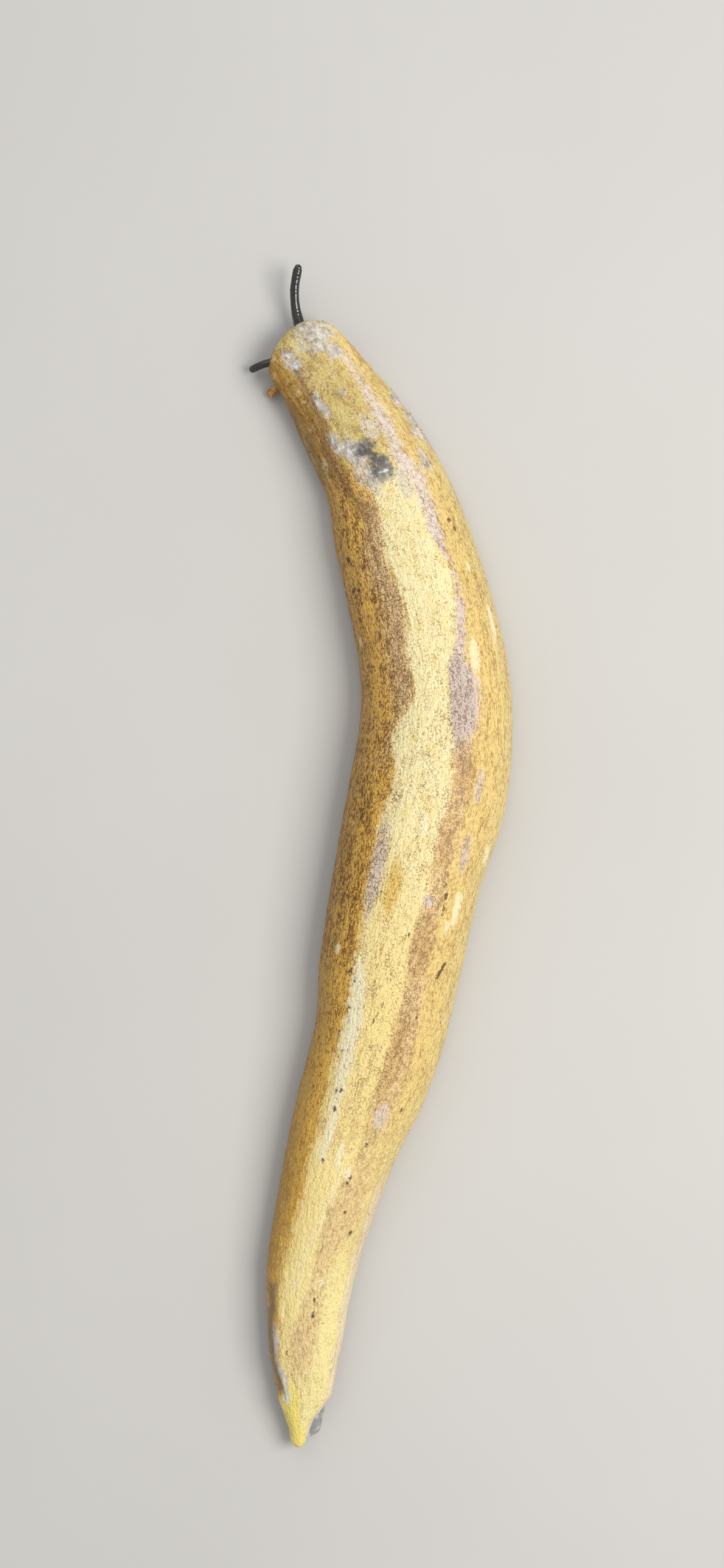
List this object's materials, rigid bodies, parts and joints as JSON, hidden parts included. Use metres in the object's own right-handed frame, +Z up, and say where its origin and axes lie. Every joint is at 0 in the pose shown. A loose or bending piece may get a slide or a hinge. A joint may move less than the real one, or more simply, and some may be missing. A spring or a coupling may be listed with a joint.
{
  "type": "leatherleaf slug",
  "caption": "Long flat-soled slug crawling in a shallow S, with a domed mantle in lengths, a narrow foot, a head under the front edge and eye-tipped feelers.",
  "frame": {"origin": "middle of the whole slug's box, on the floor under the sole", "axes": "+Y towards the head end along the body, +X to the animal's right, +Z up from the sole to the back"},
  "size_m": [0.0295, 0.1321, 0.0103],
  "materials": {
    "mantle_skin": "moist speckled skin",
    "foot_skin": "wet smooth skin",
    "head_skin": "wet smooth skin",
    "tentacle_skin": "wet glossy skin",
    "lower_tentacle_skin": "wet translucent skin",
    "eye": "glossy black"
  },
  "bodies": {
    "root": {"mantle_front": "mantle_skin", "mantle_fore": "mantle_skin", "mantle_middle": "mantle_skin", "mantle_rear": "mantle_skin", "mantle_tail": "mantle_skin", "foot_front": "foot_skin", "foot_fore": "foot_skin", "foot_middle": "foot_skin", "foot_rear": "foot_skin", "foot_tail": "foot_skin", "head": "head_skin", "tentacle_upper_right": "tentacle_skin", "tentacle_upper_left": "tentacle_skin", "tentacle_lower_right": "lower_tentacle_skin", "tentacle_lower_left": "lower_tentacle_skin", "eye_right": "eye", "eye_left": "eye"}
  },
  "joints": []
}
